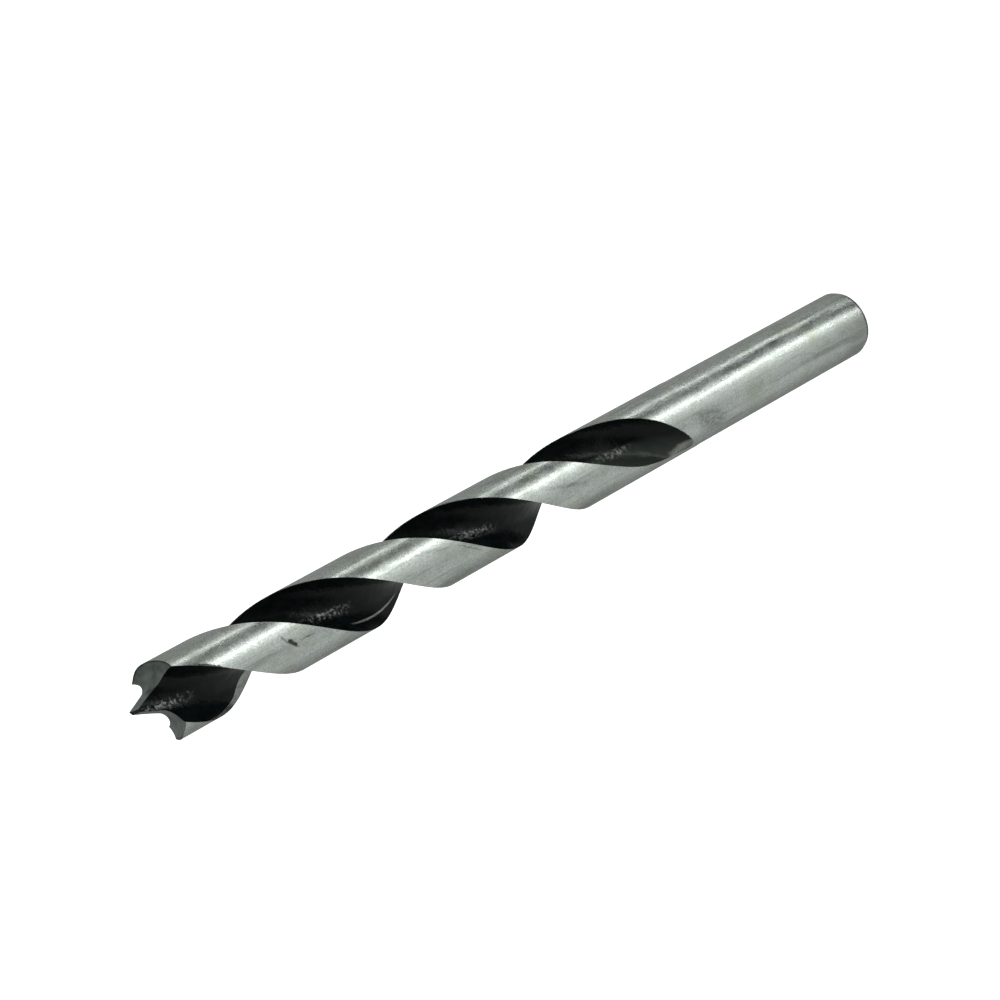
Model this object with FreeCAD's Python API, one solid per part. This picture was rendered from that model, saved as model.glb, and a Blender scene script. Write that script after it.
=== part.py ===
import FreeCAD, Part
import math
import os

# Brad point drill bit for wood: one bar of steel, with two helical flutes, a
# plain round shank and a hollow-ground tip with a centre point and two spurs.
# Millimetres. The axis of the bit is Z, the flat end of the shank is at Z = 0
# and the centre point is at the top.

# Bar
diameter = 10.0             # cutting diameter, across the lands
shank_diameter = 9.9        # plain shank, a little thinner than the hole it goes into
overall_length = 133.0      # shank end to the sharp tip of the centre point
end_bevel_length = 0.8      # gentle bevel round the end of the shank, along the axis
end_bevel_depth = 0.3       # the same bevel, towards the axis
shank_step = 0.6            # length of the cone between the shank and the lands

# Flutes: two, right-handed, opposite each other
shank_length = 37.0         # plain shank, up to where the flutes' cutters came out
helix_pitch = 51.0          # length of one full turn
runout_length = 15.0        # stretch over which the flutes rise out of the bar
runout_clear = 0.15         # how far the cutters stand clear of the bar at its end
slack_length = 25.0         # stretch above the shank where the helix slackens
slack_angle = 33.0          # how far it has fallen behind at the shank, in degrees
web_thickness = 1.9         # steel left between the two flutes
land_angle = 86.5           # part of the circle that each land takes, in degrees
stations_per_turn = 30      # sections that carry each flute's surface

# Tip: both sides are ground with one wheel profile, given from the axis outwards
point_height = 3.5          # centre point, from its root up to its sharp tip
point_base = 3.0            # width of the centre point at its root
point_flat = 0.45           # width of the small flat worn on the very tip
hollow_position = 3.0       # how far out the hollow of the cutting face is set
hollow_depth = 0.95         # how far the hollow lies below the root of the point
spur_rise = 0.65            # outer rim above the hollow
relief_angle = 13.5         # how steeply the ground faces fall behind the lips

radius = diameter / 2
shank_radius = shank_diameter / 2
half_web = web_thickness / 2
point_root = overall_length - point_height
spur_plane = point_root - hollow_depth + spur_rise
flank_slope = point_height / (point_base / 2)
worn_tip = overall_length - flank_slope * point_flat / 2
clearance = diameter        # how far the cutting tools reach outside the bar


def flute_circle():
    """Radius of the flute's round section and how far its centre is off the axis."""
    half_opening = math.radians((180.0 - land_angle) / 2)
    offset = (radius ** 2 - half_web ** 2) / (2 * (radius * math.cos(half_opening) - half_web))
    return offset - half_web, offset


def ease(share):
    """Goes smoothly from 0 to 1 as the share does, and stays there outside it."""
    share = min(1.0, max(0.0, share))
    return share ** 2 * (3 - 2 * share)


def flute_rise(height):
    """How far the flute has moved outwards at this height, to run out of the bar."""
    whole = radius - half_web + runout_clear
    return whole * ease((shank_length + runout_length - height) / runout_length)


def twist(height):
    """Angle of the flutes at this height, in degrees, zero at the plane of the spurs."""
    steady = 360.0 * (height - spur_plane) / helix_pitch
    return steady + slack_angle * ease((shank_length + slack_length - height) / slack_length)


def flute_section(height, side):
    """The flute's section: a round floor that cuts into the bar, closed flat outside it."""
    flute_radius, offset = flute_circle()
    # measured from the section's own centre, so that the flat back is clear of the bar
    back = (radius + flute_radius - offset) / 2
    half_back = math.sqrt(flute_radius ** 2 - back ** 2)
    near = FreeCAD.Vector(back, -half_back, 0)
    floor = FreeCAD.Vector(-flute_radius, 0, 0)
    far = FreeCAD.Vector(back, half_back, 0)
    section = Part.Wire([Part.Arc(near, floor, far).toShape(), Part.makeLine(far, near)])
    section.translate(FreeCAD.Vector(offset + flute_rise(height), 0, height))
    section.rotate(FreeCAD.Vector(0, 0, 0), FreeCAD.Vector(0, 0, 1), twist(height) + side)
    return section


def flute(side):
    """The steel taken away by one flute, through sections that turn with the helix."""
    bottom = shank_length
    top = overall_length + clearance
    spans = math.ceil(stations_per_turn * (top - bottom) / helix_pitch)
    sections = []
    for number in range(spans + 1):
        height = bottom + (top - bottom) * number / spans
        sections.append(flute_section(height, side))
    return Part.makeLoft(sections, True, False)


def wheel_profile():
    """Face of the grinding wheel: flank of the centre point, hollow face, outer rim."""

    def at(out, height):
        return FreeCAD.Vector(0, out, height)

    above = overall_length + clearance
    flank_top = at(-clearance / flank_slope, above)
    flank_foot = at(point_base / 2, point_root)
    hollow = at(hollow_position, point_root - hollow_depth)
    rim = at(radius, spur_plane)
    rim_reach = at(radius + clearance, spur_plane)
    far_corner = at(radius + clearance, above)
    edges = [
        Part.LineSegment(flank_top, flank_foot),
        Part.Arc(flank_foot, hollow, rim),
        Part.LineSegment(rim, rim_reach),
        Part.LineSegment(rim_reach, far_corner),
        Part.LineSegment(far_corner, flank_top),
    ]
    return Part.Face(Part.Wire([edge.toShape() for edge in edges]))


def grinding(side):
    """The steel ground off behind one lip: the wheel's face, drawn across the tip."""
    run = FreeCAD.Vector(1, 0, -math.tan(math.radians(relief_angle)))
    start = wheel_profile()
    start.translate(run * -clearance)
    ground = start.extrude(run * (2 * clearance))
    ground.rotate(FreeCAD.Vector(0, 0, 0), FreeCAD.Vector(0, 0, 1), side)
    return ground


def bar():
    """The bar before it is fluted: the shank with its bevelled end, then the wider body."""
    outline = [
        (0, 0),
        (shank_radius - end_bevel_depth, 0),
        (shank_radius, end_bevel_length),
        (shank_radius, shank_length - shank_step),
        (radius, shank_length),
        (radius, worn_tip),
        (0, worn_tip),
        (0, 0),
    ]
    points = [FreeCAD.Vector(out, 0, height) for out, height in outline]
    face = Part.Face(Part.makePolygon(points))
    return face.revolve(FreeCAD.Vector(0, 0, 0), FreeCAD.Vector(0, 0, 1), 360)


def drill_bit():
    """The whole bit, as one solid."""
    bit = bar()
    for side in (0.0, 180.0):
        bit = bit.cut(flute(side))
    for side in (0.0, 180.0):
        bit = bit.cut(grinding(side))
    return bit.removeSplitter()


os.makedirs("parts", exist_ok=True)
bit = drill_bit()
bit.exportStep("parts/drill_bit.step")
print("drill_bit", "valid", bit.isValid(), "solids", len(bit.Solids), "faces", len(bit.Faces))
print("volume", round(bit.Volume, 1), "cubic millimetres")
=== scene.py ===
import math

import bmesh
import bpy
from mathutils import Matrix, Vector, noise


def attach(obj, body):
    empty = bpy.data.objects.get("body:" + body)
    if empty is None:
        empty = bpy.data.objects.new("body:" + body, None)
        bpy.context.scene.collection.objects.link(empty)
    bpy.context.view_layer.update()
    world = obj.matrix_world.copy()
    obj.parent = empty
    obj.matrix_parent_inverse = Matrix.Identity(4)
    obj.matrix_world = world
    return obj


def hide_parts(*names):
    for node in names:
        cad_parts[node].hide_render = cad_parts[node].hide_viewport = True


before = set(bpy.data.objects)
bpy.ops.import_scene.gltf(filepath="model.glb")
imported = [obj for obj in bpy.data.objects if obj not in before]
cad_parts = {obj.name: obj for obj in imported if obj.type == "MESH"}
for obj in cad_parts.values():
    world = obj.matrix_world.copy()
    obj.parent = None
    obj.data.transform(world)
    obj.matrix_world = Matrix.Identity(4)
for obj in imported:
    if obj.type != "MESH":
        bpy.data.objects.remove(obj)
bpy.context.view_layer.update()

# The fluted bar: one bar of tool steel with two opposite flutes rolled into it hot,
# which leaves their walls lumpy under a black skin. The lands between the flutes and
# the shank are ground round afterwards, down to bare steel. Sizes are in millimetres.

MM = 0.001
BODY_RADIUS = 5.0
SHANK_RADIUS = 4.95
SHANK_LENGTH = 37.0
SHANK_STEP = 0.6
END_BEVEL_LENGTH = 0.8
END_BEVEL_DEPTH = 0.3
PITCH = 51.0
RUNOUT_LENGTH = 15.0
RUNOUT_CLEAR = 0.15
SLACK_LENGTH = 25.0
SLACK_ANGLE = math.radians(33.0)
HALF_WEB = 0.95
LAND_ANGLE = math.radians(86.5)
SPUR_PLANE = 129.2
WORN_TIP = 132.475

half_opening = (math.pi - LAND_ANGLE) / 2
opening_depth = BODY_RADIUS * math.cos(half_opening) - HALF_WEB
flute_offset = (BODY_RADIUS ** 2 - HALF_WEB ** 2) / (2 * opening_depth)
flute_radius = flute_offset - HALF_WEB

RING_SPACING = 0.3
WALL_STEPS = 40
LAND_STEPS = 30
# Where a flute opens by less than the first angle to each side, its points are spread
# over this much of the circle. Its lumps grow as it opens by the second angle more.
LEAST_SPREAD = math.radians(16.0)
LUMPS_FADE = 0.3


def bar_radius(z):
    """Radius of the bar before the flutes, at one height."""
    if z < END_BEVEL_LENGTH:
        return SHANK_RADIUS - END_BEVEL_DEPTH * (1 - z / END_BEVEL_LENGTH)
    along = min(1.0, max(0.0, (z - SHANK_LENGTH + SHANK_STEP) / SHANK_STEP))
    return SHANK_RADIUS + (BODY_RADIUS - SHANK_RADIUS) * along


def ease(share):
    """Goes smoothly from 0 to 1 as the share does."""
    share = min(1.0, max(0.0, share))
    return share ** 2 * (3 - 2 * share)


def flute_turn(z):
    """Angle of the first flute at one height."""
    slack = SLACK_ANGLE * ease((SHANK_LENGTH + SLACK_LENGTH - z) / SLACK_LENGTH)
    return 2 * math.pi * (z - SPUR_PLANE) / PITCH + slack


def lumps(side, z, across):
    """How deep hot rolling left the flute's wall here: dents about 1 mm apart, and waves."""
    fine = noise.noise(Vector((z / 0.55, across / 0.5, 7.0 * side)))
    coarse = noise.noise(Vector((z / 1.1, across / 1.4, 2.0 + 7.0 * side)))
    broad = noise.noise(Vector((z / 6.0, across / 2.2, 3.0 + 5.0 * side)))
    return 0.012 * fine + 0.04 * coarse + 0.04 * broad


def ring(z):
    """The outline of the bar at one height: flute, land, flute, land."""
    points = []
    full = bar_radius(z)
    risen = ease((SHANK_LENGTH + RUNOUT_LENGTH - z) / RUNOUT_LENGTH)
    rise = (BODY_RADIUS - HALF_WEB + RUNOUT_CLEAR) * risen
    centre = flute_offset + rise
    cosine = (full ** 2 + centre ** 2 - flute_radius ** 2) / (2 * full * centre)
    opening = math.acos(min(1.0, cosine))
    spread = max(opening, LEAST_SPREAD)
    swing = math.acos(max(-1.0, min(1.0, (centre - full * math.cos(opening)) / flute_radius)))
    for side in (0, 1):
        base = flute_turn(max(z, SHANK_LENGTH)) + math.pi * side
        for step in range(WALL_STEPS + 1):
            share = 2 * step / WALL_STEPS - 1
            if opening < LEAST_SPREAD:
                angle = spread * share
                radius = full
                reach = flute_radius ** 2 - (centre * math.sin(angle)) ** 2
                if reach > 0:
                    radius = min(full, centre * math.cos(angle) - math.sqrt(reach))
            else:
                around = swing * share
                fade = (1 - abs(share) ** 5) * ease((opening - LEAST_SPREAD) / LUMPS_FADE)
                deep = flute_radius + fade * lumps(side, z, around * flute_radius)
                x = centre - deep * math.cos(around)
                y = deep * math.sin(around)
                radius, angle = math.hypot(x, y), math.atan2(y, x)
            points.append((radius * math.cos(base + angle), radius * math.sin(base + angle), z))
        land = math.pi - 2 * spread
        for step in range(1, LAND_STEPS):
            angle = base + spread + land * step / LAND_STEPS
            points.append((full * math.cos(angle), full * math.sin(angle), z))
    return points


shank_top = SHANK_LENGTH - SHANK_STEP
heights = [0.0, END_BEVEL_LENGTH, (END_BEVEL_LENGTH + shank_top) / 2, shank_top]
while heights[-1] < WORN_TIP - 1.5 * RING_SPACING:
    heights.append(heights[-1] + RING_SPACING)
heights.append(WORN_TIP)

points = []
for z in heights:
    points += ring(z)
per_ring = len(points) // len(heights)
faces = []
for row in range(len(heights) - 1):
    for column in range(per_ring):
        a = row * per_ring + column
        b = row * per_ring + (column + 1) % per_ring
        faces.append((a, b, b + per_ring, a + per_ring))
faces.append(tuple(reversed(range(per_ring))))
faces.append(tuple(range(len(points) - per_ring, len(points))))
bar_mesh = bpy.data.meshes.new("fluted_bar")
bar_mesh.from_pydata([Vector(p) * MM for p in points], [], faces)
bar = bpy.data.objects.new("ground_drill_bit", bar_mesh)
bpy.context.scene.collection.objects.link(bar)


def linear(code):
    """A hex colour as the eye sees it, turned to linear light."""
    values = [int(code[i:i + 2], 16) / 255 for i in (1, 3, 5)]
    return [v / 12.92 if v <= 0.04045 else ((v + 0.055) / 1.055) ** 2.4 for v in values] + [1.0]


def node(tree, kind, *feeds, sockets=None, **settings):
    """Adds a node with its settings, and sets or links its inputs, in order or by name."""
    made = tree.nodes.new("ShaderNode" + kind)
    for name, value in settings.items():
        setattr(made, name, value)
    for name, feed in list(enumerate(feeds)) + list((sockets or {}).items()):
        if isinstance(feed, bpy.types.Node):
            feed = feed.outputs[0]
        if isinstance(feed, bpy.types.NodeSocket):
            tree.links.new(feed, made.inputs[name])
        else:
            made.inputs[name].default_value = feed
    return made


# Tool steel, part black and part ground. The ground lands mirror the room in soft
# lines along the bit, with fine grinding grit, worn patches, old stains and painted shade in them.
IN_MM = (1 / MM, 1 / MM, 1 / MM)
steel = bpy.data.materials.new("black_rolled_and_ground_tool_steel")
steel.use_nodes = True
tree = steel.node_tree
tree.nodes.clear()
place = node(tree, "TexCoord").outputs["Object"]
in_mm = node(tree, "VectorMath", place, IN_MM, operation="MULTIPLY")
axes = node(tree, "SeparateXYZ", in_mm)
height = axes.outputs["Z"]
across_axis = node(tree, "VectorMath", in_mm, (1.0, 1.0, 0.0), operation="MULTIPLY")
out = node(tree, "VectorMath", across_axis, operation="LENGTH").outputs["Value"]
bearing = node(tree, "Math", axes.outputs["Y"], axes.outputs["X"], operation="ARCTAN2")

# The place on a flute's wall, as an angle from its middle: below 0 on the cutting side,
# above 0 on the heel side. The turn of the helix is taken off the bearing for this.
TURN_PER_MM = 2 * math.pi / PITCH
start = -TURN_PER_MM * SPUR_PLANE
steady = node(tree, "Math", height, TURN_PER_MM, start, operation="MULTIPLY_ADD")
slack = node(tree, "MapRange", height, SHANK_LENGTH + SLACK_LENGTH, SHANK_LENGTH, 0.0, SLACK_ANGLE,
             interpolation_type="SMOOTHSTEP")
unturned = node(tree, "Math", bearing, steady, operation="SUBTRACT")
unturned = node(tree, "Math", unturned, slack, operation="SUBTRACT")
side = node(tree, "Math", unturned, math.pi / 2, -math.pi / 2, operation="WRAP")
heel_side = node(tree, "Math", side, 0.0, operation="GREATER_THAN")

# How far out the black skin reaches: on the heel side nearly to the land, with a ragged
# edge. On the cutting side up to the land, but for the stretch behind the tip, between
# 126 and 111 mm, where the edge was honed bare. The bare band is widest at 116 to 114 mm.
HEEL_LIMIT = 4.93
LAND_LIMIT = 4.985
EDGE_SOFTNESS = 0.015
EDGE_WANDER = 0.26
wander = node(tree, "TexNoise", in_mm, sockets={"Scale": 0.9, "Detail": 4.0, "Roughness": 0.6})
ragged = wander.outputs["Fac"]
ragged = node(tree, "Math", ragged, EDGE_WANDER, -EDGE_WANDER / 2, operation="MULTIPLY_ADD")
honed = node(tree, "MapRange", height, 119.5, 126.0, 4.38, 4.95)
honed_more = node(tree, "MapRange", height, 119.5, 116.0, 0.0, 1.3, interpolation_type="SMOOTHSTEP")
honed_less = node(tree, "MapRange", height, 114.0, 110.0, 0.0, 2.4, interpolation_type="SMOOTHSTEP")
honed = node(tree, "Math", honed, honed_more, operation="SUBTRACT")
honed = node(tree, "Math", honed, honed_less, operation="ADD")
limit = node(tree, "MapRange", heel_side, 0.0, 1.0, honed, HEEL_LIMIT)
below = node(tree, "Math", limit, out, operation="SUBTRACT")
below = node(tree, "Math", below, ragged, operation="SUBTRACT")
inside = node(tree, "Math", LAND_LIMIT, out, operation="SUBTRACT")
below = node(tree, "Math", below, inside, operation="MINIMUM")
skin = node(tree, "Math", below, EDGE_SOFTNESS, operation="DIVIDE")
skin = node(tree, "Math", skin, 0.5, operation="ADD", use_clamp=True)
above_shank = node(tree, "MapRange", height, 38.0, 39.4, 0.0, 1.0)
skin = node(tree, "Math", skin, above_shank, operation="MULTIPLY")

# Where a flute runs out, its skin ends along a line that slants across the floor. In the
# middle of the floor it ends between 41 and 39 mm.
SKIN_END_SLANT = math.radians(9.1)
runout = node(tree, "Math", height, SKIN_END_SLANT, side, operation="MULTIPLY_ADD")
runout = node(tree, "Math", runout, ragged, operation="ADD")
unfaded = node(tree, "MapRange", runout, 6.16, 6.50, 0.0, 1.0, interpolation_type="SMOOTHSTEP")
black = node(tree, "Math", skin, unfaded, operation="MULTIPLY")

# A painted highlight: a thin streak of bare steel on the flutes' walls, between 90 and 101 mm.
HIGHLIGHT_STREAK_STRENGTH = 0.75
highlight_path = node(tree, "Math", height, -0.07, 10.30, operation="MULTIPLY_ADD")
highlight_off = node(tree, "Math", out, highlight_path, operation="SUBTRACT")
highlight_off = node(tree, "Math", highlight_off, operation="ABSOLUTE")
highlight_width = node(tree, "MapRange", highlight_off, 0.16, 0.05, 0.0, 1.0)
highlight_start = node(tree, "MapRange", height, 90.0, 93.0, 0.0, 1.0)
highlight_end = node(tree, "MapRange", height, 101.5, 98.5, 0.0, 1.0)
cutting_side = node(tree, "Math", side, -0.35, operation="LESS_THAN")
painted_highlight = node(tree, "Math", highlight_width, highlight_start, operation="MULTIPLY")
painted_highlight = node(tree, "Math", painted_highlight, highlight_end, operation="MULTIPLY")
painted_highlight = node(tree, "Math", painted_highlight, cutting_side, operation="MULTIPLY")
painted_highlight = node(tree, "Math", painted_highlight, HIGHLIGHT_STREAK_STRENGTH, operation="MULTIPLY")
black = node(tree, "Math", black, painted_highlight, operation="SUBTRACT", use_clamp=True)

# Painted glints: the tops of the skin's pebbles are made partly bare steel where the floor of a
# flute faces the front or the back, towards the cutting side.
PAINTED_GLINT_STRENGTH = 0.42
pebbles = node(tree, "TexNoise", in_mm, sockets={
    "Scale": 2.2, "Detail": 2.5, "Roughness": 0.55}).outputs["Fac"]
glint_tops = node(tree, "MapRange", pebbles, 0.44, 0.72, 0.0, 1.0, interpolation_type="SMOOTHSTEP")
deep = node(tree, "MapRange", out, 1.9, 1.0, 0.0, 1.0, interpolation_type="SMOOTHSTEP")
low_side = node(tree, "MapRange", side, 0.3, -0.3, 0.0, 1.0, interpolation_type="SMOOTHSTEP")
facing = node(tree, "Math", steady, slack, operation="ADD")
facing = node(tree, "Math", facing, math.pi / 2, -math.pi / 2, operation="WRAP")
facing = node(tree, "Math", facing, operation="ABSOLUTE")
facing = node(tree, "MapRange", facing, 0.60, 0.15, 0.0, 1.0, interpolation_type="SMOOTHSTEP")
painted_glints = node(tree, "Math", glint_tops, deep, operation="MULTIPLY")
painted_glints = node(tree, "Math", painted_glints, low_side, operation="MULTIPLY")
painted_glints = node(tree, "Math", painted_glints, facing, operation="MULTIPLY")
painted_glints = node(tree, "Math", painted_glints, PAINTED_GLINT_STRENGTH, operation="MULTIPLY")
black = node(tree, "Math", black, painted_glints, operation="SUBTRACT", use_clamp=True)

# The bare steel: grinding grit, which is finer than 0.1 mm and is drawn 0.2 mm wide so
# that it shows, worn patches about 1 mm wide, olive tarnish, and streaks along the bit.
grit = node(tree, "TexNoise", in_mm, sockets={
    "Scale": 4.5, "Detail": 3.0, "Roughness": 0.7}).outputs["Fac"]
along = node(tree, "VectorMath", in_mm, (1.0, 1.0, 0.55), operation="MULTIPLY")
patchy = node(tree, "TexNoise", along, sockets={
    "Scale": 0.85, "Detail": 5.0, "Roughness": 0.68}).outputs["Fac"]
broad = node(tree, "TexNoise", in_mm, sockets={
    "Scale": 0.22, "Detail": 4.0, "Roughness": 0.7}).outputs["Fac"]
drawn = node(tree, "VectorMath", in_mm, (1.7, 1.7, 0.09), operation="MULTIPLY")
streaks = node(tree, "TexNoise", drawn, sockets={
    "Scale": 1.0, "Detail": 4.0, "Roughness": 0.65}).outputs["Fac"]
grit_part = node(tree, "MapRange", grit, 0.35, 0.65, 0.0, 1.0)
ground = node(tree, "MixRGB", grit_part, linear("#acb0ad"), linear("#d2d6d2"))
streak_part = node(tree, "MapRange", streaks, 0.47, 0.30, 0.0, 0.7)
ground = node(tree, "MixRGB", streak_part, ground, linear("#8b8f8c"))
patch_part = node(tree, "MapRange", patchy, 0.46, 0.34, 0.0, 0.30)
ground = node(tree, "MixRGB", patch_part, ground, linear("#8d918f"))
olive_part = node(tree, "MapRange", broad, 0.46, 0.66, 0.0, 0.8)
olive_part = node(tree, "Math", olive_part, patchy, operation="MULTIPLY")
ground = node(tree, "MixRGB", olive_part, ground, linear("#a0a58d"))

# Marks of use and painted shade on the ground steel: each is a soft spot on the unrolled bar,
# given by its height, bearing, half length, half width, slant to the axis and strength. First
# the knock and scratches behind the tip and the chipped heel edge beside it, then painted shade
# along the dim side of the lands and dark streaks on the lands, then the stains on the shank
# and a speckled painted dark reflection along it, between the two bright lines the tent draws.
MARKS = [
    (112.2, -19.0, 1.15, 0.42, 50.0, 2.4),
    (113.2, -9.0, 1.30, 0.20, 60.0, 1.0),
    (109.6, -21.2, 1.90, 0.16, 4.0, 0.8),
    (82.4, -24.0, 3.90, 0.16, 32.0, 0.7),
    (123.7, 8.2, 3.20, 0.30, 35.0, 2.0),
    # Painted shade along the dim side of the lands:
    (119.0, -68.0, 9.00, 1.50, -8.0, 0.36),
    (87.0, -68.0, 11.00, 1.50, -6.0, 0.38),
    (60.0, -66.0, 8.00, 1.40, -6.0, 0.34),
    (64.0, -14.0, 5.00, 0.50, 14.0, 0.45),
    (88.0, -2.0, 5.00, 0.45, 12.0, 0.35),
    (35.2, -36.0, 4.60, 2.40, 20.0, 0.66),
    (10.0, -29.0, 10.50, 0.55, 2.0, 0.34),
    (5.2, -32.0, 3.60, 0.55, 5.0, 0.36),
    # A speckled painted dark reflection along the shank, between its two bright lines:
    (19.0, 27.8, 6.50, 0.60, 0.0, 0.60),
    (8.5, 28.5, 6.00, 0.66, -1.0, 0.68),
    (30.0, 27.0, 5.00, 0.50, 1.0, 0.40),
]
round_arc = node(tree, "Math", bearing, BODY_RADIUS, operation="MULTIPLY")
unrolled = node(tree, "CombineXYZ", height, round_arc, 0.0)
blur = node(tree, "TexNoise", in_mm, sockets={
    "Scale": 1.6, "Detail": 3.0, "Roughness": 0.6}).outputs["Color"]
shift = node(tree, "VectorMath", blur, (0.5, 0.5, 0.5), operation="SUBTRACT")
shift = node(tree, "VectorMath", shift, (0.5, 0.5, 0.0), operation="MULTIPLY")
unrolled = node(tree, "VectorMath", unrolled, shift, operation="ADD")
marks_and_painted_shade = 0.0
for mark_height, mark_bearing, half_length, half_width, slant, strength in MARKS:
    spot = node(tree, "Mapping", unrolled,
                (mark_height, math.radians(mark_bearing) * BODY_RADIUS, 0.0),
                (0.0, 0.0, math.radians(slant)), (half_length, half_width, 1.0), vector_type="TEXTURE")
    far = node(tree, "VectorMath", spot, operation="LENGTH").outputs["Value"]
    spot_part = node(tree, "MapRange", far, 1.0, 0.2, 0.0, strength, interpolation_type="SMOOTHSTEP")
    marks_and_painted_shade = node(tree, "Math", spot_part, marks_and_painted_shade, operation="MAXIMUM")
mottle = node(tree, "TexNoise", along, sockets={
    "Scale": 2.4, "Detail": 4.0, "Roughness": 0.65}).outputs["Fac"]
mottle_part = node(tree, "MapRange", mottle, 0.40, 0.60, 1.0, 0.35)
marks_and_painted_shade = node(tree, "Math", marks_and_painted_shade, mottle_part, operation="MULTIPLY")
ground = node(tree, "MixRGB", marks_and_painted_shade, ground, linear("#484b43"))

# Beyond the end of the skin the run-out is coloured a dark olive. The bevel of the shank
# is coloured a darker grey than the shank, and its very end darker still.
olive_runout = node(tree, "MapRange", unfaded, 1.0, 0.0, 0.0, 0.85)
in_flute = node(tree, "MapRange", inside, -0.005, 0.02, 0.0, 1.0)
olive_runout = node(tree, "Math", olive_runout, in_flute, operation="MULTIPLY")
olive_runout = node(tree, "Math", olive_runout, above_shank, operation="MULTIPLY")
ground = node(tree, "MixRGB", olive_runout, ground, linear("#44483d"))
bevel_part = node(tree, "MapRange", height, 0.75, 0.45, 0.0, 1.0)
ground = node(tree, "MixRGB", bevel_part, ground, linear("#7c7e80"))
rim_part = node(tree, "MapRange", height, 0.22, 0.12, 0.0, 1.0)
ground = node(tree, "MixRGB", rim_part, ground, linear("#2e302f"))

polish = node(tree, "MapRange", patchy, 0.36, 0.62, 0.15, 0.27)
polish = node(tree, "Math", grit, 0.12, polish, operation="MULTIPLY_ADD")

# The black skin is scale from the hot rolling: dark oxide with a pebbled gloss, greyed by a
# painted sheen on the floor near the shank. Oxide mirrors far less than the usual 0.5 would.
SKIN_SPECULAR = 0.11
GRIT_HEIGHT = 0.008
FINE_PEBBLE_HEIGHT = 0.010
PEBBLE_HEIGHT = 0.050
soot = node(tree, "MapRange", patchy, 0.35, 0.65, 0.0, 1.0)
scale_colour = node(tree, "MixRGB", soot, linear("#040606"), linear("#0a0f0f"))
painted_sheen = node(tree, "MapRange", height, 60.0, 52.0, 0.0, 1.0, interpolation_type="SMOOTHSTEP")
painted_sheen = node(tree, "Math", painted_sheen, low_side, operation="MULTIPLY")
scale_colour = node(tree, "MixRGB", painted_sheen, scale_colour, linear("#262b28"))
scale_gloss = node(tree, "MapRange", broad, 0.35, 0.65, 0.10, 0.17)

colour = node(tree, "MixRGB", black, ground, scale_colour)
metal = node(tree, "Math", 1.0, black, operation="SUBTRACT")
gloss = node(tree, "MapRange", black, 0.0, 1.0, polish, scale_gloss)
grit_depth = node(tree, "Math", grit, GRIT_HEIGHT, operation="MULTIPLY")
pebble_depth = node(tree, "Math", grit, FINE_PEBBLE_HEIGHT, operation="MULTIPLY")
pebble_depth = node(tree, "Math", pebbles, PEBBLE_HEIGHT, pebble_depth, operation="MULTIPLY_ADD")
depth = node(tree, "MapRange", black, 0.0, 1.0, grit_depth, pebble_depth)
relief = node(tree, "Bump", sockets={"Strength": 1.0, "Distance": MM, "Height": depth})
surface = node(tree, "BsdfPrincipled", sockets={
    "Base Color": colour, "Metallic": metal, "Roughness": gloss,
    "Specular IOR Level": SKIN_SPECULAR, "Normal": relief})
node(tree, "OutputMaterial", surface)
bar_mesh.materials.append(steel)

# The tip: each side is ground with one shaped wheel, which forms a flank of the centre
# point, the hollow face and the outer rim in one pass. It leaves the steel duller than the
# lands and scored, and its colour is darker along the rim. The point came out a little off the axis.

TIP_LENGTH = 133.0
POINT_HEIGHT = 3.5
POINT_ROOT = TIP_LENGTH - POINT_HEIGHT
POINT_BASE = 3.0
FLANK_SLOPE = POINT_HEIGHT / (POINT_BASE / 2)
HOLLOW_POSITION = 3.0
HOLLOW_DEPTH = 0.95
RELIEF = math.radians(13.5)
POINT_OFF_AXIS = 0.39
WHEEL_REACH = 10.0
WHEEL_STEPS = 48

tip_steel = bpy.data.materials.new("wheel_ground_steel")
tip_steel.use_nodes = True
tree = tip_steel.node_tree
tree.nodes.clear()
place = node(tree, "TexCoord").outputs["Object"]
in_mm = node(tree, "VectorMath", place, IN_MM, operation="MULTIPLY")
cloud = node(tree, "TexNoise", in_mm, sockets={
    "Scale": 0.7, "Detail": 4.0, "Roughness": 0.6}).outputs["Fac"]
cloud_part = node(tree, "MapRange", cloud, 0.35, 0.65, 0.0, 1.0)
tip_colour = node(tree, "MixRGB", cloud_part, linear("#6a706d"), linear("#8b918c"))
across_axis = node(tree, "VectorMath", in_mm, (1.0, 1.0, 0.0), operation="MULTIPLY")
out = node(tree, "VectorMath", across_axis, operation="LENGTH").outputs["Value"]
rim_part = node(tree, "MapRange", out, 4.72, 4.90, 0.0, 0.7)
tip_colour = node(tree, "MixRGB", rim_part, tip_colour, linear("#222424"))

# The wheel's scores run the way of its pass. Real ones are finer than 0.1 mm. They are
# drawn 0.12 mm apart, so that they show.
lines = node(tree, "VectorMath", in_mm, (0.5, 8.0, 8.0), operation="MULTIPLY")
scores = node(tree, "TexNoise", lines, sockets={"Scale": 1.0, "Detail": 2.0}).outputs["Fac"]
scored = node(tree, "Bump", sockets={"Strength": 0.35, "Distance": 0.03 * MM, "Height": scores})
face = node(tree, "BsdfPrincipled", sockets={
    "Base Color": tip_colour, "Metallic": 1.0, "Roughness": 0.4, "Normal": scored})
node(tree, "OutputMaterial", face)


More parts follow.
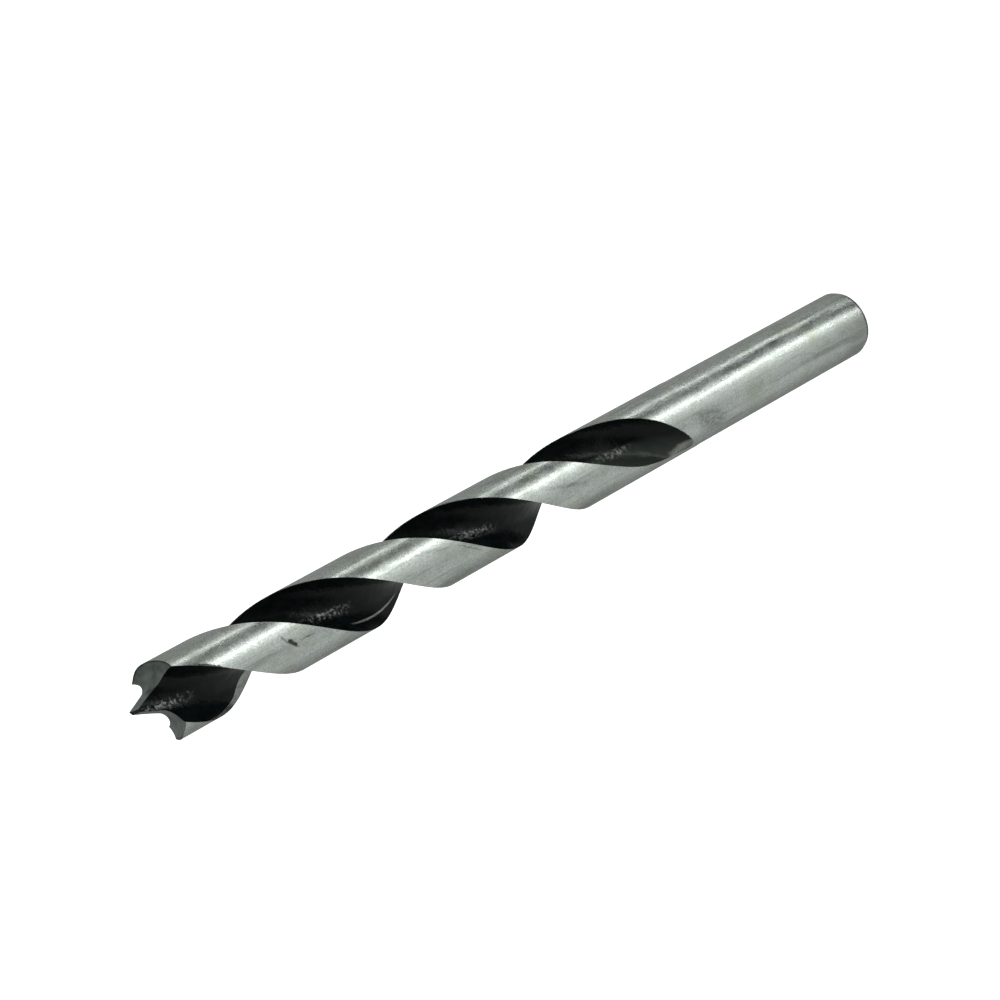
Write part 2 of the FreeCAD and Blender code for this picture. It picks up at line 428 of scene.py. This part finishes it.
def wheel_edge():
    """The wheel's profile as points (out, height), from above the point to beyond the rim.

    The hollow face is the arc through the foot of the point, the hollow and the rim.
    """
    foot = Vector((POINT_BASE / 2, POINT_ROOT))
    hollow = Vector((HOLLOW_POSITION, POINT_ROOT - HOLLOW_DEPTH))
    rim = Vector((BODY_RADIUS, SPUR_PLANE))
    chord_a, chord_b = hollow - foot, rim - hollow
    area = 2 * (chord_a.x * chord_b.y - chord_a.y * chord_b.x)
    square_a = hollow.length_squared - foot.length_squared
    square_b = rim.length_squared - hollow.length_squared
    middle = Vector(((square_a * chord_b.y - square_b * chord_a.y) / area,
                     (square_b * chord_a.x - square_a * chord_b.x) / area))
    size = (foot - middle).length
    first = math.atan2(foot.y - middle.y, foot.x - middle.x)
    last = math.atan2(rim.y - middle.y, rim.x - middle.x)
    if last < first:
        last += 2 * math.pi
    edge = [(-WHEEL_REACH / FLANK_SLOPE, TIP_LENGTH + WHEEL_REACH)]
    for step in range(WHEEL_STEPS + 1):
        angle = first + (last - first) * step / WHEEL_STEPS
        edge.append((middle.x + size * math.cos(angle), middle.y + size * math.sin(angle)))
    edge.append((BODY_RADIUS + WHEEL_REACH, SPUR_PLANE))
    edge.append((BODY_RADIUS + WHEEL_REACH, TIP_LENGTH + WHEEL_REACH))
    return edge


def wheel_pass(side):
    """The steel that one pass of the wheel takes away."""
    edge = wheel_edge()
    corners = []
    for along in (-WHEEL_REACH, WHEEL_REACH):
        for outward, level in edge:
            across = outward + (POINT_OFF_AXIS if side == 0 else -POINT_OFF_AXIS)
            corners.append(Vector((along, across, level - math.tan(RELIEF) * along)))
    half_turn = Matrix.Rotation(math.pi * side, 4, "Z")
    count = len(edge)
    sides = [(i, (i + 1) % count, (i + 1) % count + count, i + count) for i in range(count)]
    sides.append(tuple(reversed(range(count))))
    sides.append(tuple(range(count, 2 * count)))
    mesh = bpy.data.meshes.new("wheel_pass")
    mesh.from_pydata([half_turn @ c * MM for c in corners], [], sides)
    mesh.materials.append(tip_steel)
    return mesh


def knock(height, bearing, slant, half_length, half_width, depth):
    """The steel that one knock took out of a land: a small slanting dent."""
    mesh = bpy.data.meshes.new("knock")
    shape = bmesh.new()
    bmesh.ops.create_icosphere(shape, subdivisions=3, radius=1.0)
    squeeze = Matrix.Diagonal((depth, half_width, half_length, 1.0))
    lean = Matrix.Rotation(-slant, 4, "X")
    move = Matrix.Rotation(bearing, 4, "Z") @ Matrix.Translation((BODY_RADIUS, 0, height))
    shape.transform(Matrix.Scale(MM, 4) @ move @ lean @ squeeze)
    shape.to_mesh(mesh)
    shape.free()
    mesh.materials.append(steel)
    return mesh


# Both passes and the knock are cut out of the bar, and edges sharper than this stay sharp.
SHARP_EDGE = math.radians(28)
cutters = []
land_knock = knock(112.2, math.radians(-19.0), math.radians(50.0), 0.8, 0.22, 0.12)
for mesh in (wheel_pass(0), wheel_pass(1), land_knock):
    cutter = bpy.data.objects.new(mesh.name, mesh)
    bpy.context.scene.collection.objects.link(cutter)
    cut = bar.modifiers.new(mesh.name, "BOOLEAN")
    cut.operation = "DIFFERENCE"
    cut.solver = "EXACT"
    cut.material_mode = "TRANSFER"
    cut.object = cutter
    cutters.append(cutter)
bpy.context.view_layer.update()
ready = bar.evaluated_get(bpy.context.evaluated_depsgraph_get())
finished = bpy.data.meshes.new_from_object(ready)
finished.name = "ground_drill_bit"
bar.modifiers.clear()
bar.data = finished
for cutter in cutters:
    bpy.data.objects.remove(cutter)
finished.polygons.foreach_set("use_smooth", [True] * len(finished.polygons))
finished.set_sharp_from_angle(angle=SHARP_EDGE)

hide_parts("drill_bit")
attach(bar, "root")

# The studio: a plain white floor inside a white tent. Two bright strips in the tent draw
# the two lines down the lands, and its camera side is dark, which keeps the flutes black.
# The floor is only a backdrop: the bit doesn't mirror it.

FLOOR_REACH = 3
floor_mesh = bpy.data.meshes.new("floor")
corners = [(x * FLOOR_REACH, y * FLOOR_REACH, 0) for x, y in ((-1, -1), (1, -1), (1, 1), (-1, 1))]
floor_mesh.from_pydata(corners, [], [(0, 1, 2, 3)])
floor = bpy.data.objects.new("floor", floor_mesh)
bpy.context.scene.collection.objects.link(floor)
floor.visible_glossy = False
floor.visible_shadow = False
paper = bpy.data.materials.new("white_paper")
paper.use_nodes = True
tree = paper.node_tree
tree.nodes.clear()
sheet = node(tree, "BsdfPrincipled", sockets={
    "Base Color": linear("#f6f6f4"), "Roughness": 0.9,
    "Emission Color": linear("#ffffff"), "Emission Strength": 1.0})
node(tree, "OutputMaterial", sheet)
floor_mesh.materials.append(paper)

# Strips of the tent: bearing from the camera's side in degrees, and brightness there.
CAMERA_BEARING = -1.91
TENT = [
    (-180, 0.30), (-140, 0.28), (-112, 0.42), (-85, 0.66), (-65, 0.68), (-45, 0.58), (-30, 0.66),
    (-12, 0.88), (4, 1.0), (13, 1.6), (19.6, 1.6), (20.2, 13.5), (21.2, 13.5), (21.8, 1.6), (29, 1.5),
    (37, 0.40), (50, 0.22), (66, 0.26), (72.4, 0.5), (73.4, 4.6), (76.4, 4.6), (77.4, 0.5), (84, 0.40),
    (98, 0.38), (180, 0.34),
]
BRIGHTEST = 13.5
GLOW = (0.955, 1.0, 0.975)
world = bpy.data.worlds.new("white_tent")
bpy.context.scene.world = world
world.use_nodes = True
tree = world.node_tree
tree.nodes.clear()
way = node(tree, "TexCoord").outputs["Generated"]
parts = node(tree, "SeparateXYZ", way)
azimuth = node(tree, "Math", parts.outputs["Y"], parts.outputs["X"], operation="ARCTAN2")
half_way = 0.5 - CAMERA_BEARING / 360
share = node(tree, "Math", azimuth, 1 / (2 * math.pi), half_way, operation="MULTIPLY_ADD")
share = node(tree, "Math", share, operation="FRACT")
bands = node(tree, "ValToRGB", share)
ramp = bands.color_ramp
while len(ramp.elements) < len(TENT):
    ramp.elements.new(0.5)
for element, (angle, light) in zip(ramp.elements, TENT):
    element.position = (angle + 180) / 360
    element.color = [light / BRIGHTEST * part for part in GLOW] + [1.0]

# The side towards the camera is dark from a little below the level upwards, and the way
# straight down is dimmer than the rest. The camera itself sees plain white.
to_camera = math.radians(CAMERA_BEARING)
camera_way = (math.cos(to_camera), math.sin(to_camera), 0.0)
ahead = node(tree, "VectorMath", way, camera_way, operation="DOT_PRODUCT").outputs["Value"]
camera_side = node(tree, "MapRange", ahead, 0.55, 0.85, 0.0, 1.0, interpolation_type="SMOOTHSTEP")
level = parts.outputs["Z"]
raised = node(tree, "MapRange", level, -0.40, -0.18, 0.0, 0.9, interpolation_type="SMOOTHSTEP")
dark_side = node(tree, "Math", camera_side, raised, operation="MULTIPLY")
dark_below = node(tree, "MapRange", level, -0.80, -0.90, 0.0, 0.40, interpolation_type="SMOOTHSTEP")
darkness = node(tree, "Math", dark_side, dark_below, operation="MAXIMUM")
brightness = node(tree, "MapRange", darkness, 0.0, 1.0, BRIGHTEST, 0.0)
seen = node(tree, "LightPath").outputs["Is Camera Ray"]
glow = node(tree, "Background", bands, brightness)
plain = node(tree, "Background", linear("#ffffff"), 1.0)
mixed = node(tree, "MixShader", seen, glow, plain)
node(tree, "OutputWorld", mixed)

# The camera looks at the bit from the tip side, turned so that the bit lies across the
# picture. Its lens, place and turn were fitted to the outline of the bit in the photo.

lens = bpy.data.cameras.new("camera")
lens.sensor_width = 36.0
lens.lens = 94.68
lens.clip_end = 20.0
camera = bpy.data.objects.new("camera", lens)
bpy.context.scene.collection.objects.link(camera)
right = Vector((0.5100247, -0.50282808, -0.6978816))
up = Vector((0.32558246, 0.86382538, -0.38444997))
back = right.cross(up)
camera.matrix_world = Matrix((
    (right.x, up.x, back.x, 0.27322271),
    (right.y, up.y, back.y, -0.00911052),
    (right.z, up.z, back.z, 0.27837758),
    (0, 0, 0, 1),
))
bpy.context.scene.camera = camera
bpy.context.scene.view_settings.view_transform = "Standard"
